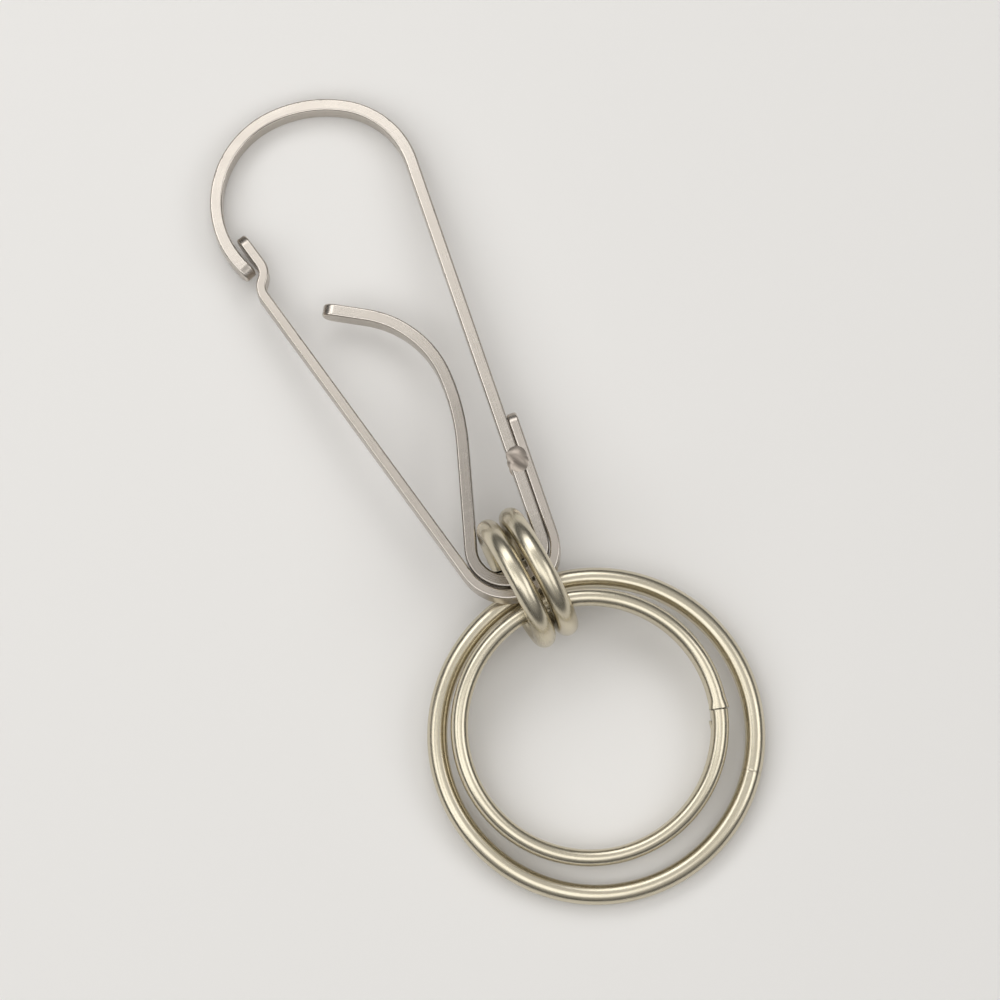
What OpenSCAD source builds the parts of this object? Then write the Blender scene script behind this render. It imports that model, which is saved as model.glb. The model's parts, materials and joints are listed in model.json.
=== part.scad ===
// Snap hook bent from two metal strips, with two jump rings, a large key ring and a small split ring.
// The hook lies on a table. +Y runs along it from the key rings to its round crown, and +Z is up.
// Each strip is a bending program: a list of straights and bends that one module sweeps.

/* [Strip stock] */
// Thickness of the hook strip
hook_thick = 1.5; // [1.2:0.1:1.8]
// Thickness of the springy gate strip
gate_thick = 1.2; // [0.9:0.1:1.4]
// Depth of both strips, across the plane of the hook
strip_depth = 2.8; // [2.2:0.1:3.4]
// Chamfer along every edge of both strips
edge_break = 0.18; // [0.08:0.02:0.3]

/* [Hook strip] */
// Centreline radius of the hook's lower bend
lower_r = 4.25; // [3.9:0.05:5]
// How far the spine leans away from the hook's long axis, in degrees
spine_lean = 10; // [7:0.5:13]
// Straight length of the spine
spine_len = 48.9; // [40:0.1:60]
// Centreline radius of the bend from the spine into the crown
shoulder_r = 10.3; // [8:0.1:12]
// Angle of the shoulder bend, in degrees
shoulder_angle = 62; // [54:1:70]
// Centreline radius over the crown
crown_r = 14.5; // [12:0.1:17]
// Angle of the crown bend, in degrees
crown_angle = 35; // [28:1:42]
// Centreline radius from the crown down to the nose
cheek_r = 11.7; // [10:0.1:13]
// Angle of the cheek bend, in degrees
cheek_angle = 109; // [100:1:116]
// Direction in which the tongue leaves the lower bend, in degrees from +X
tongue_angle = 66; // [62:0.5:72]
// Straight length of the tongue
tongue_len = 12.8; // [10:0.1:16]
// Centreline radius of the tongue's gentle sweep
sweep_r = 27.3; // [22:0.1:34]
// Angle of the gentle sweep, in degrees
sweep_angle = 19; // [14:1:24]
// Centreline radius of the bend under the tongue's lip
lip_r = 12.6; // [10:0.1:15]
// Angle of the bend under the lip, in degrees
lip_angle = 57; // [50:1:64]
// Straight length of the lip
lip_len = 3.8; // [2:0.1:5]

/* [Gate strip] */
// Gap between the spine and the gate strip's fixed tab
weld_gap = 0.06; // [0.02:0.01:0.15]
// Length of the fixed tab, up from the foot of the spine
tab_len = 14.1; // [12:0.1:20]
// How much lower the gate's bend sits than the hook's
heel_drop = 0.25; // [0.15:0.05:0.5]
// Gap between the latch and the inside of the nose
latch_gap = 0.4; // [0.2:0.05:0.8]
// Straight length of the latch
latch_len = 2.9; // [2:0.1:4]
// Angle between the latch and the end of the nose, in degrees
latch_toe = 9; // [5:1:13]
// How far below the nose's end the latch begins
latch_drop = 1.1; // [0.6:0.1:2]
// Centreline radius of the kink's two bends
kink_r = 2.2; // [1.6:0.1:2.6]
// Angle of the kink, in degrees
kink_angle = 56; // [40:1:62]
// Slit between the fixed heel and the leg, where the strip flexes
flex_slit = 0.02; // [0.01:0.01:0.05]

/* [Weld] */
// Height of the weld along the spine, from its foot
weld_up = 9.6; // [6:0.1:11]
// Diameter of one weld pulse
weld_dia = 2.5; // [1.8:0.1:2.6]
// Crown height of the weld
weld_crown = 0.4; // [0.2:0.05:0.6]
// Distance between the weld's two overlapping pulses
weld_pitch = 0.8; // [0.4:0.1:1]

/* [Jump rings] */
// Outside diameter of a jump ring
jump_od = 16.8; // [16:0.1:18]
// Wire diameter of a jump ring
jump_wire = 2.6; // [2.2:0.1:2.8]
// Gap between the two jump rings
jump_gap = 0.4; // [0.2:0.1:0.6]
// Width of the butt seam where a jump ring was closed
jump_seam = 0.12; // [0.08:0.02:0.2]
// Place of the butt seam round the ring, in degrees from the level towards the crown
jump_seam_at = -60; // [-120:5:-30]
// How far the gate's bend reaches past the jump rings' centres
bend_reach = 2.1; // [1.6:0.1:2.4]

/* [Large key ring] */
// Outside diameter of the large key ring
large_od = 40; // [38:0.5:46]
// Wire diameter of the large key ring
large_wire = 2.4; // [2:0.1:2.6]
// How far behind the jump rings' centres its wire lies
large_seat = 1; // [0.6:0.1:1.4]
// Turn of the ring to one side of the hook's long axis, in degrees
large_yaw = -4.3; // [-6:0.1:0]
// Place of the welded butt joint round the ring, in degrees
large_joint_at = -37; // [-90:1:0]
// Width of the groove left at the welded joint
joint_width = 0.14; // [0.08:0.02:0.24]
// Depth of the groove left at the welded joint
joint_depth = 0.05; // [0.03:0.01:0.1]

/* [Small split ring] */
// Gap all round between the split ring and the inside of the large ring that it nests in
nest_gap = 1.2; // [1:0.1:3]
// Wire diameter of the split ring
small_wire = 2; // [1.6:0.1:2.1]
// Gap between its two coils, and between each wire end and the step that it butts against
coil_gap = 0.06; // [0.02:0.02:0.12]
// Turn of the ring to one side of the hook's long axis, in degrees
small_yaw = -6.5; // [-8:0.1:0]
// Place round the ring of the pressed step between its coils, in degrees
step_at = -16; // [-60:1:0]
// Length of the pressed step along the wire
step_len = 1.2; // [0.8:0.1:2]
// Width by which the sheared wire ends are spread
shear_spread = 0.4; // [0.1:0.02:0.5]
// Length of the spread part of a sheared end
shear_len = 1.4; // [1:0.1:2]

/* [Fits] */
// Gap between pieces that rest on or inside each other
rest_gap = 0.12; // [0.1:0.01:0.15]
// Gap between the gate's bend and the split ring behind it
side_gap = 0.25; // [0.15:0.05:0.35]
// Gap between the hook and the wire of the large ring under it, which lets that ring swing up
under_gap = 0.36; // [0.34:0.02:0.5]

/* [Hidden] */
$fn = 96;
steel = "#c4bab2";
polished = "#d2cbb8";
tiny = 0.01;

// Every other segment of a strip or wire is fuller and longer by this much, so that all fuse
fuse_full = 0.003;
fuse_len = 0.02;

// ---- Bending programs: [length, 0] is a straight, [radius, angle] is a bend, positive to the left

function dir(a) = [cos(a), sin(a)];
function left_of(a) = [-sin(a), cos(a)];
function point(p) = [p[0], p[1]];

// The pose [x, y, heading] after one segment
function after(p, seg) =
    seg[1] == 0
    ? let (q = point(p) + seg[0] * dir(p[2])) [q[0], q[1], p[2]]
    : let (
        reach = sign(seg[1]) * seg[0],
        turned = p[2] + seg[1],
        q = point(p) + reach * (left_of(p[2]) - left_of(turned))
      ) [q[0], q[1], turned];

// The pose before segment n of a program
function pose(start, program, n) =
    n == 0 ? start : after(pose(start, program, n - 1), program[n - 1]);

function last_pose(start, program) = pose(start, program, len(program));

// The farthest that a program's centreline reaches along +Y
function reach_y(start, program, parts = 60) = max([
    for (i = [0 : len(program) - 1], k = [0 : parts])
        let (seg = program[i], share = k / parts)
        after(pose(start, program, i),
            seg[1] == 0 ? [seg[0] * share, 0] : [seg[0], seg[1] * max(share, tiny)])[1]
]);

// ---- The hook strip: two programs that leave the foot of the spine, with the lower bend's centre at 0

spine_up = 90 - spine_lean;
foot = lower_r * dir(spine_up - 90);
foot_up = [foot[0], foot[1], spine_up];
foot_down = [foot[0], foot[1], spine_up + 180];
upper_program = [
    [spine_len, 0],
    [shoulder_r, shoulder_angle],
    [crown_r, crown_angle],
    [cheek_r, cheek_angle]
];
lower_program = [
    [lower_r, tongue_angle - spine_up - 180],
    [tongue_len, 0],
    [sweep_r, sweep_angle],
    [lip_r, lip_angle],
    [lip_len, 0]
];
nose = last_pose(foot_up, upper_program);
crown_y = reach_y(foot_up, upper_program) + hook_thick / 2;

// ---- The gate strip: its bend wraps the hook's, and its leg runs to the latch inside the nose

tab_offset = hook_thick / 2 + weld_gap + gate_thick / 2;
heel_r = lower_r + tab_offset;
heel_centre = -heel_drop * dir(spine_up);
tab_top = foot + tab_offset * dir(spine_up - 90) + tab_len * dir(spine_up);
tab_start = [tab_top[0], tab_top[1], spine_up + 180];

// The latch is placed from the nose's end: below it by latch_drop, and inside it by the gap
nose_back = nose[2] + 180;
latch_heading = nose_back - 360 - latch_toe;
latch_inset = hook_thick / 2 + latch_gap + gate_thick / 2;
latch_foot = point(nose) - latch_drop * dir(nose_back) - latch_inset * left_of(nose_back);
kink_heading = latch_heading - kink_angle;
kink_mid = latch_foot + kink_r * (left_of(latch_heading) - left_of(kink_heading));
kink_centre = kink_mid - kink_r * left_of(kink_heading);

// The leg is the straight that touches both the heel's circle and the kink's first circle
leg_span = kink_centre - heel_centre;
leg_skew = asin((heel_r - kink_r) / norm(leg_span));
leg_heading = atan2(leg_span[1], leg_span[0]) - leg_skew;
leg_len = norm(leg_span) * cos(leg_skew);
heel_turn = spine_up + 180 - leg_heading;
heel_program = [[tab_len + heel_drop, 0], [heel_r, -heel_turn]];
leg_start = last_pose(tab_start, heel_program);
leg_foot = after(leg_start, [flex_slit, 0]);
leg_program = [
    [leg_len - flex_slit, 0],
    [kink_r, kink_heading - leg_heading],
    [kink_r, kink_angle],
    [latch_len, 0]
];

// ---- How the pieces lie: the jump rings stand on the table, and the rest is carried in their holes

jump_r = (jump_od - jump_wire) / 2;
jump_hole_r = jump_r - jump_wire / 2;
jump_z = jump_od / 2;
large_r = (large_od - large_wire) / 2;
small_od = large_od - 2 * large_wire - 2 * nest_gap;
small_r = (small_od - small_wire) / 2;
coil_pitch = small_wire + coil_gap;

// Height of a key ring's wire where it rests inside the jump rings, seat behind their centres
// (its yaw and its curve carry it farther back inside one jump ring than at the middle)
function wire_z(wire, seat, r, yaw) =
    let (aside = (jump_wire + jump_gap) / 2,
        farthest = seat + aside * tan(abs(yaw)) + aside * aside / (2 * r))
    jump_z - sqrt(pow(jump_hole_r - wire / 2 - rest_gap, 2) - farthest * farthest);

large_z = wire_z(large_wire, large_seat, large_r, large_yaw);
small_seat = bend_reach + side_gap + small_wire / 2;
small_z = wire_z(small_wire, small_seat, small_r, small_yaw);

// The hook rests on the large ring's wire at one end and on its crown's edge at the other
bend_y = heel_r + gate_thick / 2 + heel_drop - bend_reach;
hook_rest_z = large_z + large_wire / 2 + under_gap;
hook_dip = asin(hook_rest_z / (crown_y + bend_y + large_seat));
hook_z = crown_y * sin(hook_dip);
hook_shift = 0.28;

// A ring that rests on the table at its far side and at height near_z in the jump rings
function ring_dip(r, wire, near_z) = asin((near_z - wire / 2) / (2 * r));

// The middle of the whole object's outline on the table is the origin
large_dip = ring_dip(large_r, large_wire, large_z);
large_back = large_r * cos(large_dip);
middle_x = large_back * sin(large_yaw);
back_y = -large_seat - large_back * cos(large_yaw) - large_r * cos(large_dip) - large_wire / 2;
front_y = bend_y + crown_y * cos(hook_dip) + (strip_depth - edge_break) * sin(hook_dip);
middle_y = (front_y + back_y) / 2;

// ---- Shapes

// Chamfered cross-section of a strip: thickness across, depth up, all faces out by grow
module strip_section(thick, grow) {
    a = thick / 2 + grow;
    b = strip_depth / 2 + grow;
    c = edge_break;
    polygon([[a - c, -b], [a, c - b], [a, b - c], [a - c, b],
        [c - a, b], [-a, b - c], [-a, c - b], [c - a, -b]]);
}

// One straight or bend of a strip, from a pose
module strip_segment(p, seg, thick, full) {
    grow = full ? fuse_full : 0;
    more = full ? fuse_len : 0;
    if (seg[1] == 0) {
        start = point(p) - more * dir(p[2]);
        translate([start[0], start[1], strip_depth / 2])
            rotate([90, 0, p[2] + 90])
                linear_extrude(seg[0] + 2 * more) strip_section(thick, grow);
    } else {
        side = sign(seg[1]);
        centre = point(p) + side * seg[0] * left_of(p[2]);
        spare = more / seg[0] * 180 / PI;
        translate([centre[0], centre[1], strip_depth / 2])
            rotate([0, 0, p[2] - side * 90 + min(seg[1], 0) - spare])
                rotate_extrude(angle = abs(seg[1]) + 2 * spare)
                    translate([seg[0], 0]) strip_section(thick, grow);
    }
}

// Rounded end of a strip: half of its chamfered section, turned about the strip's thickness
module strip_end(p, thick, full) {
    grow = full ? fuse_full : 0;
    a = thick / 2 + grow;
    b = strip_depth / 2 + grow;
    c = edge_break;
    start = point(p) - fuse_len * dir(p[2]);
    translate([start[0], start[1], strip_depth / 2])
        rotate([0, 0, p[2] - 90])
            rotate([0, -90, 0])
                rotate_extrude(angle = 180)
                    polygon([[0, -a], [b - c, -a], [b, c - a], [b, a - c], [b - c, a], [0, a]]);
}

// A whole program; parity says whether its even or its odd segments are the fuller ones
module bent_strip(start, program, thick, parity) {
    for (i = [0 : len(program) - 1])
        strip_segment(pose(start, program, i), program[i], thick, i % 2 == parity);
}

// Ring of round wire about Z, open by gap at the angle at
module wire_ring(r, wire, at, gap) {
    slit = gap / r * 180 / PI;
    rotate([0, 0, at + slit / 2])
        rotate_extrude(angle = 360 - slit)
            translate([r, 0]) circle(d = wire);
}

// ---- Placing

module on_table() {
    translate([-middle_x, -middle_y, 0]) children();
}

module in_hook() {
    on_table() translate([-hook_shift, bend_y, hook_z]) rotate([-hook_dip, 0, 0]) children();
}

// A key ring's own frame: centre of its lower coil, with +Y towards the jump rings
module in_key_ring(r, wire, seat, near_z, yaw) {
    dip = ring_dip(r, wire, near_z);
    on_table()
        translate([0, -seat, near_z])
            rotate([0, 0, yaw])
                rotate([dip, 0, 0])
                    translate([0, -r, 0]) children();
}

// ---- Sub-parts

module hook_strip() {
    color(steel) in_hook() union() {
        bent_strip(foot_up, upper_program, hook_thick, 0);
        strip_end(nose, hook_thick, true);
        bent_strip(foot_down, lower_program, hook_thick, 1);
        strip_end(last_pose(foot_down, lower_program), hook_thick, true);
    }
}

module gate_heel() {
    color(steel) in_hook() union() {
        strip_end([tab_start[0], tab_start[1], spine_up], gate_thick, false);
        bent_strip(tab_start, heel_program, gate_thick, 0);
    }
}

module gate_leg() {
    color(steel) in_hook() union() {
        bent_strip(leg_foot, leg_program, gate_thick, 1);
        strip_end(last_pose(leg_foot, leg_program), gate_thick, false);
    }
}

// One flattened drop of weld metal, standing on the plane z = 0
module weld_pulse() {
    ball = (weld_dia * weld_dia / 4 + weld_crown * weld_crown) / (2 * weld_crown);
    intersection() {
        translate([0, 0, weld_crown - ball]) sphere(r = ball);
        cylinder(d = weld_dia + 1, h = weld_crown + 1);
    }
}

// side is 1 for the bead on the strips' upper edges and 0 for the one on their lower edges
module weld_bead(side) {
    bridge = (weld_gap + gate_thick / 2) / 2;
    middle = foot + bridge * dir(spine_up - 90) + weld_up * dir(spine_up);
    base_z = side * strip_depth + (2 * side - 1) * fuse_full;
    color(steel) in_hook()
        translate([middle[0], middle[1], base_z])
            rotate([0, 0, spine_up])
                mirror([0, 0, 1 - side])
                    for (end = [-1, 1]) translate([end * weld_pitch / 2, 0, 0]) weld_pulse();
}

// side is -1 for the left jump ring and 1 for the right one
module jump_ring(side) {
    color(polished) on_table()
        translate([side * (jump_wire + jump_gap) / 2, 0, jump_z])
            rotate([90, 0, 90])
                wire_ring(jump_r, jump_wire, jump_seam_at, jump_seam);
}

// Groove that the welded butt joint leaves round the wire
module joint_groove() {
    rotate([90, 0, 0]) difference() {
        cylinder(d = large_wire + 1, h = joint_width, center = true);
        cylinder(d = large_wire - 2 * joint_depth, h = joint_width + 1, center = true);
    }
}

module large_key_ring() {
    color(polished)
        in_key_ring(large_r, large_wire, large_seat, large_z, large_yaw) difference() {
            rotate_extrude() translate([large_r, 0]) circle(d = large_wire);
            rotate([0, 0, large_joint_at]) translate([large_r, 0, 0]) joint_groove();
        }
}

// Angles round the split ring, on one side of the step's middle: the step's end, the face of the wire
// end that butts against it, and the end of the part that the shears spread
function along_small(d) = d / small_r * 180 / PI;
step_end = along_small(step_len / 2);
butt_face = along_small(step_len / 2 + coil_gap);
spread_end = along_small(step_len / 2 + coil_gap + shear_len);

// Round wire of the split ring's upper coil, from one angle to another
module coil(from, to) {
    translate([0, 0, coil_pitch])
        rotate([0, 0, from])
            rotate_extrude(angle = to - from)
                translate([small_r, 0]) circle(d = small_wire);
}

// Free end of the upper coil, pinched wide where it was sheared
module sheared_end() {
    translate([0, 0, coil_pitch])
        rotate([0, 0, butt_face])
            rotate_extrude(angle = spread_end - butt_face + along_small(fuse_len))
                translate([small_r, 0]) intersection() {
                    circle(d = small_wire + shear_spread);
                    square([2 * small_wire, small_wire - 2 * fuse_len], center = true);
                }
}

// The wall of metal that the press leaves between the coils, a hair narrower than the wire
module pressed_step() {
    rotate([0, 0, -step_end])
        rotate_extrude(angle = 2 * step_end)
            translate([small_r, coil_pitch / 2])
                square([small_wire - 2 * fuse_len, coil_pitch], center = true);
}

// Half turn about the ring's radius through the step, which carries the upper coil to the lower one
module half_turn() {
    translate([0, 0, coil_pitch / 2])
        rotate([180, 0, 0])
            translate([0, 0, -coil_pitch / 2]) children();
}

module small_split_ring() {
    color(polished)
        in_key_ring(small_r, small_wire, small_seat, small_z, small_yaw)
            rotate([0, 0, step_at]) union() {
                coil(spread_end, 360 + step_end);
                half_turn() coil(spread_end, 360 + step_end);
                pressed_step();
                sheared_end();
                half_turn() sheared_end();
            }
}

hook_strip();
gate_heel();
gate_leg();
weld_bead(1);  // weld_top
weld_bead(0);  // weld_bottom
jump_ring(-1);  // jump_ring_left
jump_ring(1);  // jump_ring_right
large_key_ring();
small_split_ring();
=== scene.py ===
# %% [markdown]
# # A snap hook with two key rings
# The object is bent from flat strip and round wire, then plated with nickel. The CAD frame already has
# every size right, so Blender's work is the look: soft burnished edges on the strips, sheared and butted
# wire ends, and a plated surface that is never quite even. Each piece is swept along the same bends as
# the real strip or wire, with exact normals, because a polished wire shows every facet of a coarse mesh.

# %% Load the fixed frame
import json
import math

import bpy
import numpy as np
from mathutils import Matrix, Vector


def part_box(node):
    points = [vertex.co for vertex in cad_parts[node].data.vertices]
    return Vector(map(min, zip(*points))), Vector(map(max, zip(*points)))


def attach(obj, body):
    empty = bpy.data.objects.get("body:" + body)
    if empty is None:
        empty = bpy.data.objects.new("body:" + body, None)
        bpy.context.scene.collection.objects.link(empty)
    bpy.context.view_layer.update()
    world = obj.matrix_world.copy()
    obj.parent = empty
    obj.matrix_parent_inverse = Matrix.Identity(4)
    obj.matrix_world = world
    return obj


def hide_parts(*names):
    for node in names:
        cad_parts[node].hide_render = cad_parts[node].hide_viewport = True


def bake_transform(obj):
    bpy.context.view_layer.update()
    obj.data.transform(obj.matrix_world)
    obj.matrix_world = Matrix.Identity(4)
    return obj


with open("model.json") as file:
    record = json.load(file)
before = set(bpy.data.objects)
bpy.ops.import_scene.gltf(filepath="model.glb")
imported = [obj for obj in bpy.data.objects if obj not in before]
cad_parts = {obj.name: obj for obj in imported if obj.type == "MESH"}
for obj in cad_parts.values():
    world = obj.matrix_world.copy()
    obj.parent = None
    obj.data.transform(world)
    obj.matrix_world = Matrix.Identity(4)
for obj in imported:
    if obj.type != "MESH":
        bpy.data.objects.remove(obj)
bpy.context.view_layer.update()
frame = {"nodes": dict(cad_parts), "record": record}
MM = 0.001


# %% [markdown]
# The strips live in the hook's own plane. It dips a little from the key rings down to the crown, because
# the hook lies over the key ring's wire at one end and on the table at the other. One function carries
# points from a piece's own axes into the object's frame, and another does so from the hook's plane.

# %% Frame of the hook
# The hook's plane has its origin at the centre of the lower bend, on the strips' lower edge.
HOOK_ORIGIN = np.array([1.12547, -8.5493, 5.17803]) * MM
HOOK_DIP = math.radians(4.858)


def turn_x(angle):
    c, s = math.cos(angle), math.sin(angle)
    return np.array([[1, 0, 0], [0, c, -s], [0, s, c]])


def place(points, matrix, origin):
    """Points in millimetres on a piece's own axes, as metres in the object's frame."""
    return np.asarray(points) * MM @ matrix.T + origin


hook_axes = turn_x(-HOOK_DIP)


def from_hook(points):
    return place(points, hook_axes, HOOK_ORIGIN)


print("the hook's plane dips by", round(math.degrees(HOOK_DIP), 2), "degrees")

# %% [markdown]
# A piece is a few grids of points that share their borders. Each corner keeps its own exact normal, so a
# round wire is truly round in its reflections while a cut face stays crisp. The UV map counts millimetres
# along and around the metal, and later stretches the drawing marks along the wire. Each point also takes
# two marks for the material: how burnished the metal is there, and how far painted shade darkens it.

# %% Grid of faces


def grid(points, normals, along, around, burnish=0.0, dulled=0.0):
    """Faces between the rows and columns of a grid, as the point, normal, UV and marks of each corner."""
    points, normals = np.asarray(points, float), np.asarray(normals, float)
    rows, cols = points.shape[:2]
    marks = np.stack([np.broadcast_to(mark, (rows, cols)) for mark in (burnish, dulled)], -1)
    uv = np.stack(np.broadcast_arrays(np.reshape(along, (rows, -1)), around), axis=-1)
    index = np.arange(rows * cols).reshape(rows, cols)
    corners = (index[:-1, :-1], index[1:, :-1], index[1:, 1:], index[:-1, 1:])
    quads = np.stack(corners, -1).reshape(-1, 4)
    return [values.reshape(rows * cols, -1)[quads] for values in (points, normals, uv, marks)]


# %% [markdown]
# Points that coincide are merged, which closes the mesh. Where a whole row of points falls on one spot, as
# in the middle of a cut face, the sides that shrink to nothing are left out. Blender takes a face's points
# as counter-clockwise from outside, so a face that disagrees with its normals is turned round.

# %% Closed mesh
MERGE_WITHIN = MM * 1e-4


def merged(corner_points):
    """The numbers of each face's four points after merging, and the corner that each point comes from."""
    keys = np.round(corner_points.reshape(-1, 3) / MERGE_WITHIN).astype(np.int64)
    _, first, numbers = np.unique(keys, axis=0, return_index=True, return_inverse=True)
    return numbers.reshape(-1, 4), first


def whole_faces(numbers, corner_points, corner_normals, corner_uvs):
    """Faces without the sides that shrank to nothing, with the normals and UVs of what is left."""
    faces, normals, uvs = [], [], []
    for ids, corners, ns, uv in zip(numbers, corner_points, corner_normals, corner_uvs):
        keep = [k for k in range(4) if ids[k] != ids[k - 1]]
        if len(keep) < 3 or len({ids[k] for k in keep}) < len(keep):
            continue
        a, b, c = corners[keep[0]], corners[keep[1]], corners[keep[-1]]
        if np.dot(np.cross(b - a, c - a), ns[keep].sum(0)) < 0:
            keep.reverse()
        faces.append([int(ids[k]) for k in keep])
        normals.extend(ns[keep].tolist())
        uvs.extend(uv[keep].tolist())
    return faces, normals, uvs


def make_piece(name, grids, body, material):
    """One closed mesh from several grids, riding on a CAD body unless body is None."""
    points, normals, uvs, marks = (np.concatenate([part[k] for part in grids]) for k in range(4))
    numbers, first = merged(points)
    faces, face_normals, face_uvs = whole_faces(numbers, points, normals, uvs)
    vertices, vertex_marks = points.reshape(-1, 3)[first], marks.reshape(-1, 2)[first]
    mesh = bpy.data.meshes.new(name)
    mesh.from_pydata(vertices.tolist(), [], faces)
    mesh.polygons.foreach_set("use_smooth", [True] * len(faces))
    uv_map = mesh.uv_layers.new(name="metal_mm")
    uv_map.data.foreach_set("uv", np.array(face_uvs, np.float32).ravel())
    for column, mark in enumerate(("burnish", "dulled")):
        attribute = mesh.attributes.new(mark, "FLOAT", "POINT")
        attribute.data.foreach_set("value", np.ascontiguousarray(vertex_marks[:, column], np.float32))
    mesh.normals_split_custom_set(face_normals)
    mesh.update()
    piece = bpy.data.objects.new(name, mesh)
    bpy.context.scene.collection.objects.link(piece)
    mesh.materials.append(material)
    if body:
        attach(piece, body)
    size = (vertices.max(0) - vertices.min(0)) / MM
    print(f"{name}: {len(vertices)} points, {len(faces)} faces, {np.round(size, 2).tolist()} mm")
    return piece


# %% [markdown]
# Nickel plating is a thin bright metal skin over steel. Its own colour is a warm, faintly yellow grey.
# Tumbling in a barrel leaves the strips satin and burnishes their edges, while the ring wire is polished
# and keeps faint lines from being drawn through a die. One small function adds each shader node, and
# another turns an sRGB hex colour into the linear values that Blender works in.

# %% Node and colour helpers


def linear(hex_colour):
    channels = [int(hex_colour[k : k + 2], 16) / 255 for k in (1, 3, 5)]
    return [c / 12.92 if c <= 0.04045 else ((c + 0.055) / 1.055) ** 2.4 for c in channels] + [1.0]


def add(tree, kind, settings=None, **inputs):
    """Adds a node, sets its properties, and fills or links its inputs: Base_Color by name, _0 by number."""
    node = tree.nodes.new(kind)
    for key, value in (settings or {}).items():
        setattr(node, key, value)
    for key, value in inputs.items():
        socket = node.inputs[int(key[1:]) if key.startswith("_") else key.replace("_", " ")]
        if isinstance(value, bpy.types.NodeSocket):
            tree.links.new(value, socket)
        else:
            socket.default_value = value
    return node


def new_material(name):
    material = bpy.data.materials.new(name)
    material.use_nodes = True
    material.node_tree.nodes.clear()
    return material, material.node_tree


print("mid grey #808080 in linear light:", round(linear("#808080")[0], 3))

# %% [markdown]
# The plate is one recipe with different amounts, built from what happens to the metal. Some marks are
# knocked or scratched into it: the tumbling barrel chips its burnished edges here and there, and handling
# adds hairline scratches in any direction. Each is a noise pattern of which only the peaks are kept.

# %% Chips and scratches
CHIP_MM, CHIP_FROM, CHIP_FULL = 0.9, 0.66, 0.74
# A real hairline is too fine to show, so it is drawn 0.12 mm wide, from long thin cells of noise.
HAIR_MM, HAIR_LEN_MM, HAIR_FROM, HAIR_FULL = 0.12, 9.0, 0.70, 0.78
HAIR_LAYERS = ((0.4, 0.0), (1.9, 7.0))  # turn in radians, and shift of the noise


def per_mm(size_mm):
    """Texture scale for object coordinates in metres, from the size of one pattern cell."""
    return 1.0 / (size_mm * MM)


def chipped_edges(tree, surface, burnish):
    chips = add(tree, "ShaderNodeTexNoise", Vector=surface, Scale=per_mm(CHIP_MM), Detail=1.0)
    chip = add(
        tree, "ShaderNodeMapRange", Value=chips.outputs["Fac"], From_Min=CHIP_FROM, From_Max=CHIP_FULL
    )
    on_edge = add(tree, "ShaderNodeMath", {"operation": "MULTIPLY"}, _0=chip.outputs[0], _1=burnish)
    return on_edge.outputs[0]


def hairline_scratches(tree, surface):
    scratches = 0.0
    for turn, shift in HAIR_LAYERS:
        slant = add(
            tree, "ShaderNodeMapping", Vector=surface, Rotation=(0.0, 0.0, turn),
            Location=(shift, shift, 0.0), Scale=(per_mm(HAIR_LEN_MM), per_mm(HAIR_MM), per_mm(HAIR_LEN_MM)),
        )
        hair = add(tree, "ShaderNodeTexNoise", Vector=slant.outputs[0], Scale=1.0, Detail=0.0)
        line = add(
            tree, "ShaderNodeMapRange", Value=hair.outputs["Fac"], From_Min=HAIR_FROM, From_Max=HAIR_FULL
        )
        both = add(tree, "ShaderNodeMath", {"operation": "MAXIMUM"}, _0=line.outputs[0], _1=scratches)
        scratches = both.outputs[0]
    return scratches


# %% [markdown]
# The plate's tone drifts a little from place to place, its burnished edges are brighter, and painted shade
# darkens it in seams, creases and the throat. Where the tone drifts the gloss drifts with it, and the edges
# are glossier. The relief has rolled or drawn lines and soft dimples as well, and chips and scratches go
# inwards.

# %% Colour, gloss and relief of the plate
# The dark tone that painted shade mixes into the plate.
PAINTED_SHADE_TONE = "#2E2822"
UNEVEN_FROM, UNEVEN_TO = 0.75, 1.25  # range of the clouds and the lines added together
EDGE_ROUGHNESS = 0.7  # as a share of the metal's smoothest places
LINE_DEPTH_MM, DIMPLE_DEPTH_MM, CHIP_DEPTH_MM = 0.004, 0.004, 0.025
LINE_STRENGTH, MARK_STRENGTH = 0.5, 0.6


def plate_colour(tree, tones, cloud, burnish, dulled):
    """Tones are the plain metal's, the clouds' and the edges'."""
    plain, clouded, edge = tones
    colour = linear(plain)
    # The last mix is painted shade: it darkens the plate towards the shade tone.
    for amount, next_tone in ((cloud, clouded), (burnish, edge), (dulled, PAINTED_SHADE_TONE)):
        mix = add(
            tree, "ShaderNodeMix", {"data_type": "RGBA"}, _0=amount, _6=colour, _7=linear(next_tone)
        )
        colour = mix.outputs[2]
    return colour


def plate_roughness(tree, least, most, cloud, lines, burnish):
    uneven = add(tree, "ShaderNodeMath", {"operation": "ADD"}, _0=cloud, _1=lines)
    rough = add(
        tree, "ShaderNodeMapRange", Value=uneven.outputs[0], From_Min=UNEVEN_FROM, From_Max=UNEVEN_TO,
        To_Min=least, To_Max=most,
    )
    burnished = add(
        tree, "ShaderNodeMapRange", Value=burnish, To_Min=rough.outputs[0], To_Max=least * EDGE_ROUGHNESS
    )
    return burnished.outputs[0]


def plate_relief(tree, lines, dimples, scratches, scratch_mm, chips):
    relief = add(
        tree, "ShaderNodeBump", Strength=LINE_STRENGTH, Distance=LINE_DEPTH_MM * MM, Height=lines
    )
    for height, depth_mm, sunk in (
        (dimples, DIMPLE_DEPTH_MM, False), (scratches, scratch_mm, True), (chips, CHIP_DEPTH_MM, True),
    ):
        relief = add(
            tree, "ShaderNodeBump", {"invert": sunk}, Strength=MARK_STRENGTH, Distance=depth_mm * MM,
            Height=height, Normal=relief.outputs[0],
        )
    return relief.outputs[0]


# %% [markdown]
# One function now puts the recipe together. The lines lie on the UV map, so they follow every bend of a
# strip or a wire. All the rest is laid through the solid metal, so it has no seam.

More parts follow.
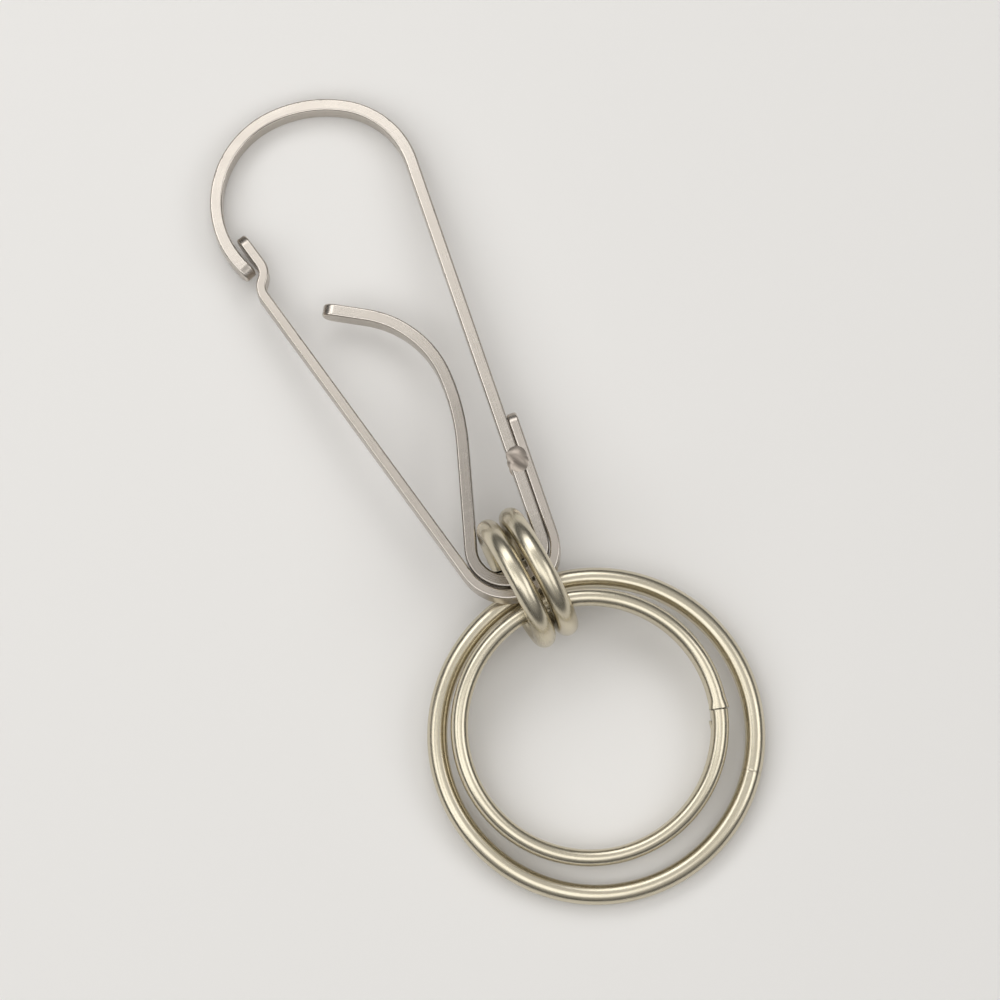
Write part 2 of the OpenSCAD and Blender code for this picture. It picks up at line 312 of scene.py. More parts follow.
# %% Plated metal recipe
CLOUD_MM = 5.0
LINE_RUN = 0.12  # cells of noise per millimetre along the metal, so a line runs for about 8 mm


def plated_metal(name, tones, roughness, line_mm, dimple_mm, scratch_mm):
    material, tree = new_material(name)
    coords = add(tree, "ShaderNodeTexCoord")
    surface, along = coords.outputs["Object"], coords.outputs["UV"]
    burnish = add(tree, "ShaderNodeAttribute", {"attribute_name": "burnish"}).outputs["Fac"]
    # This mark carries painted shade into the plate's colour.
    dulled = add(tree, "ShaderNodeAttribute", {"attribute_name": "dulled"}).outputs["Fac"]
    clouds = add(tree, "ShaderNodeTexNoise", Vector=surface, Scale=per_mm(CLOUD_MM), Detail=4.0)
    drawn = add(tree, "ShaderNodeMapping", Vector=along, Scale=(LINE_RUN, 1 / line_mm, 1.0))
    line_noise = add(tree, "ShaderNodeTexNoise", Vector=drawn.outputs[0], Scale=1.0, Detail=2.0)
    dimples = add(tree, "ShaderNodeTexNoise", Vector=surface, Scale=per_mm(dimple_mm), Detail=3.0)
    cloud, lines = clouds.outputs["Fac"], line_noise.outputs["Fac"]
    relief = plate_relief(
        tree, lines, dimples.outputs["Fac"], hairline_scratches(tree, surface), scratch_mm,
        chipped_edges(tree, surface, burnish),
    )
    shader = add(
        tree, "ShaderNodeBsdfPrincipled", Metallic=1.0, Normal=relief,
        Base_Color=plate_colour(tree, tones, cloud, burnish, dulled),
        Roughness=plate_roughness(tree, *roughness, cloud, lines, burnish),
    )
    add(tree, "ShaderNodeOutputMaterial", Surface=shader.outputs[0])
    return material


# %% [markdown]
# Nickel's own colour is a warm grey. The strips are left satin, so light spreads along them in soft bands.
# The wire is polished further and takes a yellower cast, with bright and dark streaks that follow it. Real
# rolling and drawing lines are finer than these, which are drawn as coarse as they need to be to show.

# %% The four plated finishes
# Rolled steel strip, nickel plated and tumbled: satin, with bright burnished edges.
satin_nickel_strip = plated_metal(
    "tumbled_nickel_on_rolled_strip", ("#C9C2B9", "#BDB5AC", "#D6CFC6"),
    roughness=(0.24, 0.33), line_mm=0.10, dimple_mm=0.35, scratch_mm=0.003,
)
# Thinner spring strip with the same plate, a touch darker from its heat treatment.
satin_nickel_spring = plated_metal(
    "tumbled_nickel_on_spring_strip", ("#C5BDB4", "#B8B0A7", "#D2CBC2"),
    roughness=(0.25, 0.35), line_mm=0.10, dimple_mm=0.35, scratch_mm=0.003,
)
# Drawn wire, nickel plated and polished: softer than a mirror, with faint lines from the die.
polished_nickel_wire = plated_metal(
    "polished_nickel_on_drawn_wire", ("#DAD2BE", "#CDC4AE", "#E2DBC9"),
    roughness=(0.22, 0.29), line_mm=0.16, dimple_mm=0.9, scratch_mm=0.003,
)
# Weld metal under the plate: it froze from a puddle, so it is softly lumpy and duller; its darker tones are
# painted shade.
weld_plate_painted_darker = plated_metal(
    "nickel_on_spot_weld_shaded", ("#AFA59B", "#9C9187", "#C2B9AE"),
    roughness=(0.36, 0.46), line_mm=0.30, dimple_mm=0.5, scratch_mm=0.002,
)
for finish in (satin_nickel_strip, satin_nickel_spring, polished_nickel_wire, weld_plate_painted_darker):
    print("finish:", finish.name)

# %% [markdown]
# A strip is bent like a paper clip: straights and bends in one plane. The bending program is a list of
# (length, angle) for straights, with angle 0, and (radius, angle) for bends. Walking it gives stations,
# each with a point, a heading and the length so far. A modifier could bend a bar too, but the program
# gives each bend the exact radius of the CAD piece.

# %% Walk a bending program
STATION_STEP = 0.45  # millimetres
BEND_STEP = 3.0  # degrees


def ahead(degrees):
    """Unit vector along a heading in the hook's plane."""
    return np.array([math.cos(math.radians(degrees)), math.sin(math.radians(degrees))])


def leftward(degrees):
    return ahead(degrees + 90)


def straight(station, length):
    x, y, heading, done = station
    count = max(2, int(length / STATION_STEP))
    for walked in length * np.arange(1, count + 1) / count:
        yield (*((x, y) + walked * ahead(heading)), heading, done + walked)


def bend(station, radius, angle):
    x, y, heading, done = station
    side = math.copysign(radius, angle)
    centre = (x, y) + side * leftward(heading)
    count = max(2, int(abs(angle) / BEND_STEP))
    for turned in angle * np.arange(1, count + 1) / count:
        walked = math.radians(abs(turned)) * radius
        yield (*(centre - side * leftward(heading + turned)), heading + turned, done + walked)


def walk(start, program):
    """Stations (x, y, heading, length) in millimetres and degrees along a bending program."""
    stations = [(*start, 0.0)]
    for size, angle in program:
        last = stations[-1]
        stations.extend(straight(last, size) if angle == 0 else bend(last, size, angle))
    return stations


print("a quarter bend of 10 mm radius is", round(walk((0, 0, 0), [(10, 90)])[-1][3], 2), "mm long")

# %% [markdown]
# The strip's section is a rectangle whose corners were rounded in the tumbling barrel. Only its upper half
# is drawn, and mirrored for the lower one. The corners are marked as burnished, most at their middle.

# %% Section of a strip
CORNER_STEPS = 6


def half_section(thick, depth, corner):
    """Upper half of the section: (across, up) with its normals and how burnished each point is."""
    side, top = thick / 2, depth / 2
    points, normals, edges = [(side, 0.0)], [(1.0, 0.0)], [0.0]
    for centre, first in (((side - corner, top - corner), 0), ((corner - side, top - corner), 90)):
        for k in range(CORNER_STEPS + 1):
            angle = math.radians(first + 90 * k / CORNER_STEPS)
            n = (math.cos(angle), math.sin(angle))
            points.append((centre[0] + corner * n[0], centre[1] + corner * n[1]))
            normals.append(n)
            edges.append(math.sin(math.pi * k / CORNER_STEPS) ** 0.5)
    points.append((-side, 0.0))
    normals.append((-1.0, 0.0))
    edges.append(0.0)
    return np.array(points), np.array(normals), np.array(edges)


def whole_loop(half):
    """The closed loop of points or normals whose upper half is given."""
    return np.concatenate([half, half[-2::-1] * (1, -1)])


def lengths_along(points):
    return np.concatenate([[0], np.cumsum(np.linalg.norm(np.diff(points, axis=0), axis=1))])


# %% [markdown]
# The strip is its section carried along the stations, across the heading at each of them.

# %% Strip between its ends
STRIP_DEPTH = 2.8
UP = np.array([0.0, 0.0, 1.0])


def strip_body(stations, half, dulled):
    """The strip between its ends, with one amount of painted shade per station."""
    points, normals, edges = half
    loop, loop_normals = whole_loop(points), whole_loop(normals)
    loop_edges = np.concatenate([edges, edges[-2::-1]])
    rows, row_normals = [], []
    for x, y, heading, _ in stations:
        left = np.append(leftward(heading), 0.0)
        rows.append((x, y, STRIP_DEPTH / 2) + loop[:, :1] * left + loop[:, 1:] * UP)
        row_normals.append(loop_normals[:, :1] * left + loop_normals[:, 1:] * UP)
    along = np.array([s[3] for s in stations])
    return grid(
        from_hook(rows), row_normals @ hook_axes.T, along, lengths_along(loop), loop_edges, dulled[:, None]
    )


# %% [markdown]
# The strip's two ends are punched to a half round across its depth, so each end is half of the section
# turned about the strip's thickness. Body and ends share their border points, which closes the piece.

# %% Round ends and whole strip
CAP_STEPS = 20


def strip_end(station, forward_sign, half):
    """A half-round end, turned from the strip's upper edge to its lower one."""
    points, normals, edges = half
    x, y, heading, done = station
    left = np.append(leftward(heading), 0.0)
    forward = forward_sign * np.append(ahead(heading), 0.0)
    turns = np.linspace(0, math.pi, CAP_STEPS + 1)
    spokes = [math.cos(t) * UP + math.sin(t) * forward for t in turns]
    cap = np.array([(x, y, STRIP_DEPTH / 2) + points[:, :1] * left + points[:, 1:] * s for s in spokes])
    cap_normals = np.array([normals[:, :1] * left + normals[:, 1:] * s for s in spokes])
    reach = done + forward_sign * np.sin(turns) * STRIP_DEPTH / 2
    around = np.linspace(0, lengths_along(points)[-1], len(points))
    return grid(from_hook(cap), cap_normals @ hook_axes.T, reach, around, edges)


def strip_grids(stations, thick, corner, shade_at=(0.0,), dull=(0.0,)):
    """Grids of a strip in the object's frame, with painted shade of some amounts at some lengths along it.
    """
    half = half_section(thick, STRIP_DEPTH, corner)
    dulled = np.interp([s[3] for s in stations], shade_at, dull)
    ends = [strip_end(stations[0], -1, half), strip_end(stations[-1], 1, half)]
    return [strip_body(stations, half, dulled), *ends]


# %% [markdown]
# The hook strip starts at the nose, goes over the crown and down the spine, turns back in the tight lower
# bend and rises as the tongue. The program is written from the foot of the spine both ways, since that is
# where the CAD source measures from. In the throat, where tongue and legs stand close, the plate's colour
# is darkened as painted shade.

# %% Hook strip
HOOK_THICK, HOOK_CORNER = 1.5, 0.26
LOWER_R, LOWER_TURN, SPINE_UP, SPINE_LEN = 4.25, -194, 80.0, 48.9
SHOULDER, CROWN, CHEEK = (10.3, 62), (14.5, 35), (11.7, 109)
TONGUE_LEN, SWEEP, UNDER_LIP, LIP_LEN = 12.8, (27.3, 19), (12.6, 57), 3.8
# Lengths from the tongue's tip, and how much painted shade darkens the plate at each
THROAT_AT, THROAT_PAINTED_SHADE = (9.0, 22.0, 44.0, 56.0), (0.0, 0.26, 0.32, 0.0)
spine_foot = LOWER_R * ahead(SPINE_UP - 90)
upper_program = [(SPINE_LEN, 0), SHOULDER, CROWN, CHEEK]
lower_program = [(LOWER_R, LOWER_TURN), (TONGUE_LEN, 0), SWEEP, UNDER_LIP, (LIP_LEN, 0)]


def chained(foot, upper, lower):
    """One run of stations from the end of the lower program back to the foot and up the upper one."""
    x, y, heading = foot
    down, rise = walk((x, y, heading + 180), lower), walk(foot, upper)
    length = down[-1][3]
    back = [(x, y, h + 180, length - d) for x, y, h, d in reversed(down)]
    return back + [(x, y, h, length + d) for x, y, h, d in rise[1:]]


hook_stations = chained((*spine_foot, SPINE_UP), upper_program, lower_program)
hook_piece = make_piece(
    "hook_strip_plated", strip_grids(hook_stations, HOOK_THICK, HOOK_CORNER, THROAT_AT, THROAT_PAINTED_SHADE),
    "hook", satin_nickel_strip,
)
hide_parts("hook_strip")
print("hook strip, straightened, in mm:", round(hook_stations[-1][3] + STRIP_DEPTH, 1))

# %% [markdown]
# The gate is a second, thinner strip. It is welded outside the spine, wraps the lower bend and runs up to
# the latch inside the nose. Its program follows from the hook's: the tab lies beside the spine, the latch
# lies inside the nose, and the straight leg is the line that touches both the heel's bend and the kink's.

# %% Gate strip's program
GATE_THICK, WELD_GAP, TAB_LEN, HEEL_DROP = 1.2, 0.06, 14.1, 0.25
LATCH_GAP, LATCH_LEN, LATCH_TOE, LATCH_DROP = 0.4, 2.9, 9.0, 1.1
KINK_R, KINK_TURN = 2.2, 56.0
tab_offset = HOOK_THICK / 2 + WELD_GAP + GATE_THICK / 2
heel_r = LOWER_R + tab_offset
heel_centre = -HEEL_DROP * ahead(SPINE_UP)
tab_top = spine_foot + tab_offset * ahead(SPINE_UP - 90) + TAB_LEN * ahead(SPINE_UP)

*nose_tip, nose_heading, _ = hook_stations[-1]
nose_back = nose_heading + 180
latch_heading = nose_back - 360 - LATCH_TOE
latch_inset = HOOK_THICK / 2 + LATCH_GAP + GATE_THICK / 2
latch_foot = nose_tip - LATCH_DROP * ahead(nose_back) - latch_inset * leftward(nose_back)
kink_heading = latch_heading - KINK_TURN
kink_mid = latch_foot + KINK_R * (leftward(latch_heading) - leftward(kink_heading))
kink_centre = kink_mid - KINK_R * leftward(kink_heading)

leg_span = kink_centre - heel_centre
leg_skew = math.degrees(math.asin((heel_r - KINK_R) / np.linalg.norm(leg_span)))
leg_heading = math.degrees(math.atan2(leg_span[1], leg_span[0])) - leg_skew
leg_len = float(np.linalg.norm(leg_span)) * math.cos(math.radians(leg_skew))
gate_program = [
    (TAB_LEN + HEEL_DROP, 0),
    (heel_r, leg_heading - SPINE_UP - 180),
    (leg_len, 0),
    (KINK_R, kink_heading - leg_heading),
    (KINK_R, KINK_TURN),
    (LATCH_LEN, 0),
]
print("leg heading and length:", round(leg_heading, 2), round(leg_len, 2))

# %% [markdown]
# In the CAD model the gate is two nodes with a slit between them, so that its leg can turn. Here it is one
# strip again, built in place and riding on no CAD body.

# %% Gate strip
GATE_CORNER = 0.24
gate_stations = walk((*tab_top, SPINE_UP + 180), gate_program)
gate_piece = make_piece(
    "gate_strip_plated", strip_grids(gate_stations, GATE_THICK, GATE_CORNER),
    None, satin_nickel_spring,
)
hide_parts("gate_heel", "gate_leg")
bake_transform(gate_piece)

# %% [markdown]
# The spot weld that joins the gate to the spine is a small frozen puddle. It was struck twice, so it is a
# low dome drawn slightly long, with a valley slanting across it where the two puddles met. The dome runs
# out thinner towards the gate, and its rim is burnished. It was never rolled or drawn, so its UV map only
# counts outwards and round.

# %% Weld puddle
WELD_DIA, WELD_CROWN, WELD_PITCH, WELD_SINK = 2.5, 0.4, 0.8, 0.02
WELD_SQUARE, WELD_FOOT = 3, 1.3  # how square the dome is, and how softly it ends
RUN_OUT_MIDDLE, RUN_OUT_SLOPE = 0.8, 0.4  # thickness in the middle, and its gain across the dome
# The weld's burnished rim, and the painted shade that darkens its valley.
WELD_SHINE, WELD_PAINTED_SHADE = 0.5, 0.5
# The direction across the valley, its distance from the middle, its half width and its depth
VALLEY_ACROSS, VALLEY_OFF, VALLEY_HALF, VALLEY_DEPTH = (-0.57, 0.82), 0.25, 0.4, 0.6
WELD_RINGS, WELD_SIDES = 14, 64


def unit(vectors):
    return vectors / np.linalg.norm(vectors, axis=-1, keepdims=True)


def puddle():
    """Points of the dome, u up the spine and v away from the gate, with their normals, UV and marks."""
    angles = np.linspace(0, 2 * math.pi, WELD_SIDES + 1)
    half = WELD_PITCH / 2
    lobe = half * np.abs(np.cos(angles)) + np.sqrt((WELD_DIA / 2) ** 2 - (half * np.sin(angles)) ** 2)
    share = np.linspace(0, 1, WELD_RINGS + 1)[:, None]
    u, v = share * lobe * np.cos(angles), share * lobe * np.sin(angles)
    from_valley = VALLEY_ACROSS[0] * u + VALLEY_ACROSS[1] * v - VALLEY_OFF
    valley = np.exp(-((from_valley / VALLEY_HALF) ** 2))
    run_out = RUN_OUT_MIDDLE + RUN_OUT_SLOPE * v / WELD_DIA
    dome = np.clip(1 - share**WELD_SQUARE, 0, 1) ** WELD_FOOT
    height = WELD_CROWN * run_out * dome * (1 - VALLEY_DEPTH * valley)
    height[-1] = -WELD_SINK
    rows = np.stack([u, v, height], -1)
    outward, round_about = np.gradient(rows, axis=0), np.gradient(rows, axis=1)
    round_about[:, 0] = round_about[:, -1] = rows[:, 1] - rows[:, -2]
    normals = np.cross(outward, round_about)
    normals[0] = UP
    # Painted shade darkens the valley, most along its middle.
    burnish, dulled = WELD_SHINE * share**WELD_SQUARE, WELD_PAINTED_SHADE * valley
    return rows, unit(normals), share[:, 0], angles, burnish, dulled


# %% [markdown]
# The same puddle sits on both edges of the strips, over the gap between spine and gate. A flat face closes
# it from below, just under the strips' surface, and painted shade darkens the valley.

# %% Weld beads
WELD_UP = 9.6


def turn_z(angle):
    c, s = math.cos(angle), math.sin(angle)
    return np.array([[c, -s, 0], [s, c, 0], [0, 0, 1]])


def weld_grids(on_top):
    rows, normals, share, angles, burnish, dulled = puddle()
    base = np.stack([rows[-1], rows[-1] * UP])
    down = np.broadcast_to(-UP, base.shape)
    flip = np.array([1, 1, 1 if on_top else -1])
    bridge = (WELD_GAP + GATE_THICK / 2) / 2
    middle = spine_foot + bridge * ahead(SPINE_UP - 90) + WELD_UP * ahead(SPINE_UP)
    shift = np.array([*middle, STRIP_DEPTH if on_top else 0.0])
    spin = turn_z(math.radians(SPINE_UP))

    def turned(vectors):
        return vectors * flip @ spin.T

    return [
        grid(
            from_hook(turned(rows) + shift), turned(normals) @ hook_axes.T, share, angles, burnish, dulled
        ),
        grid(from_hook(turned(base) + shift), turned(down) @ hook_axes.T, np.array([0, 1]), angles),
    ]


for node_name, on_top in (("weld_top", True), ("weld_bottom", False)):
    bead = make_piece(node_name + "_bead", weld_grids(on_top), "hook", weld_plate_painted_darker)
    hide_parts(node_name)

# %% [markdown]
# A ring is round wire bent once round an axis. Where the wire is cut it has a flat face, painted in the
# dark shade tone as painted shade for the seam. A ring is made about its own Z in millimetres, and then
# placed.

# %% Round wire
WIRE_SIDES = 56
wire_turns = np.linspace(0, 2 * math.pi, WIRE_SIDES + 1)
wire_sideways, wire_upward = np.cos(wire_turns)[:, None], np.sin(wire_turns)[:, None]


def ring_axes(angles):
    """Unit vectors outwards and forwards at angles round a ring."""
    c, s = np.cos(angles), np.sin(angles)
    return np.stack([c, s, 0 * c], -1), np.stack([-s, c, 0 * c], -1)


def cut_faces(rows, forwards, around):
    """Flat faces that close the first and the last row of a wire, painted fully with painted shade."""
    faces = []
    for row, outward in ((rows[0], -forwards[0]), (rows[-1], forwards[-1])):
        face = np.stack([np.broadcast_to(row[:-1].mean(0), row.shape), row])
        faces.append((face, np.broadcast_to(outward, face.shape), np.array([0.0, 1.0]), around, 0.0, 1.0))
    return faces


def placed(parts, matrix, origin):
    """Grids in metres in the object's frame, from parts in millimetres on a ring's own axes."""
    return [
        grid(place(rows, matrix, origin), normals @ matrix.T, along, around, *marks)
        for rows, normals, along, around, *marks in parts
    ]


# %% [markdown]
# A jump ring is only butted, so a hairline shows between two cut faces whose rims are slightly rounded.
# The split ring's ends are also pinched wide by the shears. One helper makes such an arc of wire. Its
# stations lie close together only where the rims and the pinched end need it.

# %% Arc of wire with two cut ends
RIM_STEPS, PINCH_STEPS, WIRE_STEPS = 6, 12, 400
PINCH_FLAT = 0.04  # how much flatter the shears leave the wire
RIM_SHINE, RIM_SHADE_FROM, RIM_SHADE_FULL = 0.5, 0.2, 0.5  # the rim is burnished outside, and painted shade darkens it further in


def wire_stations(total, rim, pinch_len):
    """Lengths along the wire at which its rows of points stand."""
    rounded = rim * (1 - np.cos(np.linspace(0, math.pi / 2, RIM_STEPS)))
    pinched = np.linspace(rim, pinch_len, PINCH_STEPS)
    plain = np.linspace(pinch_len, total - rim, WIRE_STEPS)
    return np.concatenate([rounded[:-1], pinched[:-1], plain, (total - rounded)[::-1][1:]])


def wire_arc(centre_r, wire_r, begin, end, rim, spread=0.0, pinch_len=1.0, height=0.0):
    """An arc of wire about Z in millimetres, from one angle to another, spread wide at its first end."""
    total = (end - begin) * centre_r
    along = wire_stations(total, rim, pinch_len)
    short = np.clip(rim - np.minimum(along, total - along), 0, rim)
    radius = (wire_r - rim + np.sqrt(np.clip(rim**2 - short**2, 0, None)))[:, None, None]
    share = np.clip(along / pinch_len, 0, 1)
    pinch = (1 - share**2 * (3 - 2 * share))[:, None, None]
    wide, low = 1 + spread / 2 / wire_r * pinch, 1 - PINCH_FLAT * pinch * (spread > 0)
    outs, forwards = ring_axes(begin + along / centre_r)
    out, forward = outs[:, None], forwards[:, None]
    rows = centre_r * out + height * UP + radius * (wire_sideways * wide * out + wire_upward * low * UP)
    normals = unit(wire_sideways * low * out + wire_upward * wide * UP)
    lean = ((short / rim) * np.sign(along - total / 2))[:, None, None]
    normals = normals * np.sqrt(1 - lean**2) + lean * forward
    rim_share = np.abs(lean[:, :, 0])
    burnish = RIM_SHINE * np.sin(math.pi * rim_share)
    # Painted shade darkens the rim towards the cut face.
    dulled = np.clip((rim_share - RIM_SHADE_FROM) / (RIM_SHADE_FULL - RIM_SHADE_FROM), 0, 1)
    wire = (rows, normals, along, wire_turns * wire_r, burnish, dulled)
    return [wire] + cut_faces(rows, forwards, wire_turns)


# %% [markdown]
# The jump rings stand upright, side by side across the lower bend, with their seams underneath and out of
# sight. They are made from thick wire, and their places come from the frame's boxes.

# %% Jump rings
JUMP_R, JUMP_WIRE, JUMP_RIM = 7.1, 2.6, 0.16
JUMP_SEAM, JUMP_SEAM_AT = 0.12, math.radians(-60)
UPRIGHT = np.array([[0, 0, 1], [1, 0, 0], [0, 1, 0]], float)  # the ring's own Z points along X
half_seam = JUMP_SEAM / JUMP_R / 2
jump_wire = wire_arc(
    JUMP_R, JUMP_WIRE / 2, JUMP_SEAM_AT + half_seam, JUMP_SEAM_AT + 2 * math.pi - half_seam, JUMP_RIM
)
for side in ("left", "right"):
    low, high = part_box("jump_ring_" + side)
    centre = np.array((low + high) / 2)
    centre[2] = high[2] - (JUMP_R + JUMP_WIRE / 2) * MM
    jump = make_piece(
        f"jump_ring_{side}_polished", placed(jump_wire, UPRIGHT, centre),
        "jump_" + side, polished_nickel_wire,
    )
    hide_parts("jump_ring_" + side)

# %% [markdown]
# The large key ring is closed: its wire was butt welded and the joint ground smooth, which leaves a faint
# groove, darkened with painted shade. Both key rings lie tilted, with one side up in the jump rings. Their
# centres and tilts come from the record, where each is a place to hang keys.

# %% Large key ring
LARGE_R, LARGE_WIRE = 18.8, 2.4
GROOVE_AT, GROOVE_WIDTH, GROOVE_DEPTH, GROOVE_REACH = math.radians(-37), 0.14, 0.02, 6
GROOVE_PAINTED_SHADE, SHADE_NARROW = 0.3, 1.6  # how much painted shade darkens the groove, and how far it keeps to the groove's middle
GROOVE_STEPS = 61
mount_at = {m["name"]: np.array(m["pos_m"]) for m in frame["record"]["mounts"]}
mount_axis = {m["name"]: np.array(m["axis"]) for m in frame["record"]["mounts"]}


def ring_matrix(normal):
    """Axes of a key ring that lies tilted: its own +Y climbs towards the jump rings."""
    dip = math.acos(normal[2])
    yaw = math.atan2(normal[0], -normal[1])
    return turn_z(yaw) @ turn_x(dip)


def grooved_ring(centre_r, wire_r):
    """A closed ring with a shallow ground groove."""
    reach, girth = GROOVE_REACH * GROOVE_WIDTH, 2 * math.pi * centre_r
    near = np.linspace(-reach, reach, GROOVE_STEPS)
    far = np.linspace(reach, girth - reach, WIRE_STEPS)[1:-1]
    along = np.concatenate([near, far, near[:1] + girth])
    offset = np.concatenate([near, far, near[:1]])
    dip = GROOVE_DEPTH * np.exp(-((offset / GROOVE_WIDTH) ** 2))
    slope = dip * 2 * offset / GROOVE_WIDTH**2
    outs, forwards = ring_axes(GROOVE_AT + along / centre_r)
    outs[-1] = outs[0]
    out, forward = outs[:, None], forwards[:, None]
    round_wire = wire_sideways * out + wire_upward * UP
    rows = centre_r * out + (wire_r - dip)[:, None, None] * round_wire
    normals = unit(round_wire - slope[:, None, None] * forward)
    # Painted shade darkens the groove, most at its middle.
    groove_shade = GROOVE_PAINTED_SHADE * np.exp(-((offset / GROOVE_WIDTH * SHADE_NARROW) ** 2))[:, None]
    return [(rows, normals, along, wire_turns * wire_r, 0.0, groove_shade)]


large_axes = ring_matrix(mount_axis["large_ring_loop"])
large = make_piece(
    "large_key_ring_polished",
    placed(grooved_ring(LARGE_R, LARGE_WIRE / 2), large_axes, mount_at["large_ring_loop"]),
    "large_ring", polished_nickel_wire,
)
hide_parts("large_key_ring")

# %% [markdown]
# The split ring is one wire wound round twice. A press pushes the wire down by its own thickness in one
# short step, and each wire end butts against that step: one on top, one below. The ends were pinched by
# the shears, so they stand a little wide. From above only a hairline shows, with the edges of the lower
# end peeping out beside the wire. The lower coil is the upper one given half a turn about the step.

# %% Small split ring
SMALL_R, SMALL_WIRE, COIL_GAP = 15.4, 2.0, 0.06
STEP_AT, STEP_LEN, STEP_INSET, STEP_CORNER = math.radians(-16), 1.2, 0.04, 0.2
STEP_ROWS = 9
SHEAR_SPREAD, SHEAR_LEN, SHEAR_RIM = 0.4, 1.4, 0.07
pitch = SMALL_WIRE + COIL_GAP
step_end = STEP_LEN / 2 / SMALL_R
butt_face = step_end + COIL_GAP / SMALL_R


def half_turned(part):
    """Half a turn about the ring's radius through the step, which carries the upper coil to the lower."""
    rows, normals, *rest = part
    return rows * (1, -1, -1) + (0, 0, pitch), normals * (1, -1, -1), *rest


def pressed_step():
    """The wall of metal between the coils, with rounded corners, and its two end faces."""
    points, normals, _ = half_section(SMALL_WIRE - STEP_INSET, pitch, STEP_CORNER)
    loop, loop_normals = whole_loop(points), whole_loop(normals)
    angles = np.linspace(-step_end, step_end, STEP_ROWS)
    outs, forwards = ring_axes(angles)
    out = outs[:, None]
    rows = (SMALL_R + loop[:, :1]) * out + (pitch / 2 + loop[:, 1:]) * UP
    row_normals = loop_normals[:, :1] * out + loop_normals[:, 1:] * UP
    around = np.linspace(0, 2 * SMALL_WIRE, len(loop))
    # The step's end faces take painted shade from cut_faces.
    return [(rows, row_normals, angles * SMALL_R, around, 0.0)] + cut_faces(rows, forwards, around)


upper_coil = wire_arc(
    SMALL_R, SMALL_WIRE / 2, butt_face, 2 * math.pi + step_end, SHEAR_RIM, SHEAR_SPREAD, SHEAR_LEN, pitch
)
coils = upper_coil + [half_turned(part) for part in upper_coil] + pressed_step()
small_axes = ring_matrix(mount_axis["small_ring_loop"]) @ turn_z(STEP_AT)
small = make_piece(
    "small_split_ring_polished", placed(coils, small_axes, mount_at["small_ring_loop"]),
    "small_ring", polished_nickel_wire,
)
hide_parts("small_split_ring")

# %% [markdown]
# The hidden CAD nodes keep their own material too, so that any view of them is still plated metal.

# %% Materials on the CAD nodes
NODE_FINISHES = {
    "hook_strip": satin_nickel_strip,
    "gate_heel": satin_nickel_spring,
    "gate_leg": satin_nickel_spring,
    "weld_top": weld_plate_painted_darker,
    "weld_bottom": weld_plate_painted_darker,
    "jump_ring_left": polished_nickel_wire,
    "jump_ring_right": polished_nickel_wire,
    "large_key_ring": polished_nickel_wire,
    "small_split_ring": polished_nickel_wire,
}
for node_name, finish in NODE_FINISHES.items():
    slots = frame["nodes"][node_name].material_slots
    for material_slot in slots:
        material_slot.material = finish
    print(node_name, "slots:", len(slots))

# %% [markdown]
# The object lies on a plain pale table with a matt surface, which takes a soft shadow and mirrors nothing.

# %% Table
FLOOR_HALF = 2.0
floor_mesh = bpy.data.meshes.new("table")
floor_corners = [(x * FLOOR_HALF, y * FLOOR_HALF, 0) for x, y in ((-1, -1), (1, -1), (1, 1), (-1, 1))]
floor_mesh.from_pydata(floor_corners, [], [(0, 1, 2, 3)])
floor = bpy.data.objects.new("table", floor_mesh)
bpy.context.scene.collection.objects.link(floor)
matt_table, tree = new_material("matt_laminate_table")
table_shader = add(tree, "ShaderNodeBsdfPrincipled", Base_Color=linear("#EEECE9"), Roughness=0.85)
add(tree, "ShaderNodeOutputMaterial", Surface=table_shader.outputs[0])
floor_mesh.materials.append(matt_table)
print("table:", 2 * FLOOR_HALF, "m square")

# %% [markdown]
# Polished metal shows what is round it, so the look of the wire depends on the studio as much as on the
# material. The room is bright overhead and dimmer towards the walls, which draws a darker band along each
# side of a wire. Height here is that of the direction looked in, from 0 at the horizon to 1 overhead.

# %% Room
DIM_UP_TO, BRIGHT_FROM = 0.25, 0.95
DIM_LEVEL, BRIGHT_LEVEL = 0.1, 0.66
world = bpy.data.worlds.new("studio_room")
bpy.context.scene.world = world
world.use_nodes = True
room = world.node_tree
room.nodes.clear()
direction = add(room, "ShaderNodeTexCoord")
height = add(room, "ShaderNodeSeparateXYZ", Vector=direction.outputs["Generated"])
level = add(
    room, "ShaderNodeMapRange", Value=height.outputs["Z"], From_Min=DIM_UP_TO, From_Max=BRIGHT_FROM,
    To_Min=DIM_LEVEL, To_Max=BRIGHT_LEVEL,
)
room_light = add(room, "ShaderNodeBackground", Color=linear("#FFFEFC"), Strength=level.outputs[0])
add(room, "ShaderNodeOutputWorld", Surface=room_light.outputs[0])
print("room level from", DIM_LEVEL, "to", BRIGHT_LEVEL)

# %% [markdown]
# Four broad lamps stand round the object and give the wires long soft highlights. The one behind the
# hook's crown is placed so that its near edge is mirrored halfway down the hook: the crown is bright and
# the heel is not.

# %% Lamps


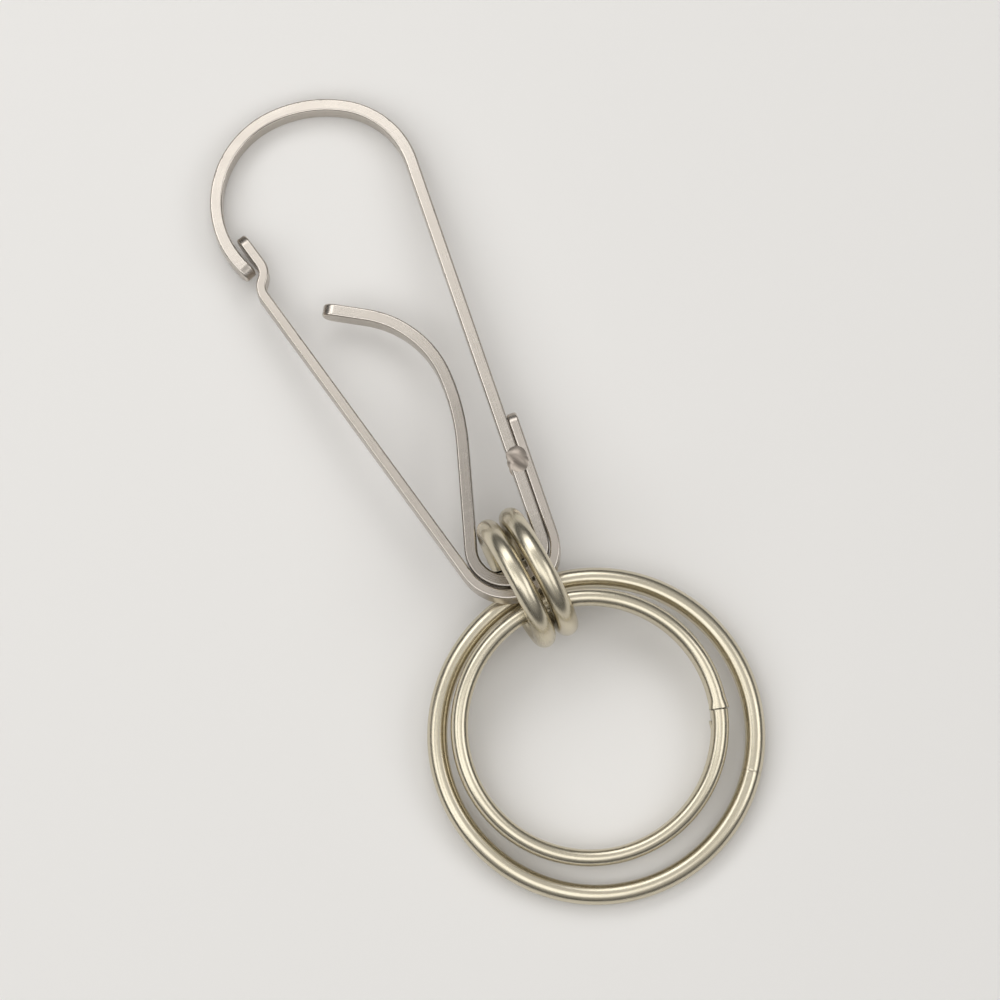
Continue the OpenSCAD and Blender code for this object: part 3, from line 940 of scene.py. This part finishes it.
def softbox(name, location, size, brightness):
    """A rectangular lamp aimed at the object; brightness 1 shows as white in a mirror."""
    lamp = bpy.data.lights.new(name, "AREA")
    lamp.shape, lamp.size, lamp.size_y = "RECTANGLE", size[0], size[1]
    lamp.energy = brightness * math.pi * size[0] * size[1]
    holder = bpy.data.objects.new(name, lamp)
    bpy.context.scene.collection.objects.link(holder)
    holder.location = location
    holder.rotation_euler = Vector(location).to_track_quat("Z", "Y").to_euler()
    print(name, "watts:", round(lamp.energy, 2))


softbox("lamp_behind_crown", (0.0, 0.255, 0.32), (0.44, 0.18), 1.8)
softbox("lamp_overhead", (-0.16, -0.15, 0.50), (0.46, 0.32), 1.05)
softbox("lamp_left", (-0.42, 0.11, 0.36), (0.44, 0.24), 1.4)
softbox("lamp_right", (0.36, -0.20, 0.42), (0.42, 0.28), 1.35)

# %% [markdown]
# The camera looks almost straight down on the object through a long lens, turned so that the hook's
# crown points up and left. It is sighted at the jump rings from a metre away, and then swung a little,
# so that the whole object sits in the middle of the frame.

# %% Camera
AZIMUTH, ELEVATION = math.radians(-28.5), math.radians(80)
CAMERA_DISTANCE, LENS_MM, SENSOR_MM = 1.0, 302.76, 36.0
SIGHTED_AT = Vector((1.4055, -12.9593, 0)) * MM
AIM_RIGHT, AIM_UP = -3.24614 * MM, 10.70155 * MM
back = Vector((
    math.sin(AZIMUTH) * math.cos(ELEVATION), -math.cos(AZIMUTH) * math.cos(ELEVATION), math.sin(ELEVATION),
))
right = Vector((math.cos(AZIMUTH), math.sin(AZIMUTH), 0))
above = back.cross(right)
stand = SIGHTED_AT + back * CAMERA_DISTANCE
aim = SIGHTED_AT + right * AIM_RIGHT + above * AIM_UP
view_back = (stand - aim).normalized()
view_right = above.cross(view_back).normalized()
view_up = view_back.cross(view_right)
turn = Matrix((view_right, view_up, view_back)).transposed()

camera_data = bpy.data.cameras.new("camera")
camera_data.sensor_width, camera_data.lens = SENSOR_MM, LENS_MM
camera_data.clip_start, camera_data.clip_end = 0.05, 10
camera = bpy.data.objects.new("camera", camera_data)
bpy.context.scene.collection.objects.link(camera)
camera.matrix_world = Matrix.Translation(stand) @ turn.to_4x4()
bpy.context.scene.camera = camera
bpy.context.scene.view_settings.view_transform = "Standard"
print("camera stands at, in mm:", [round(value / MM, 1) for value in stand])
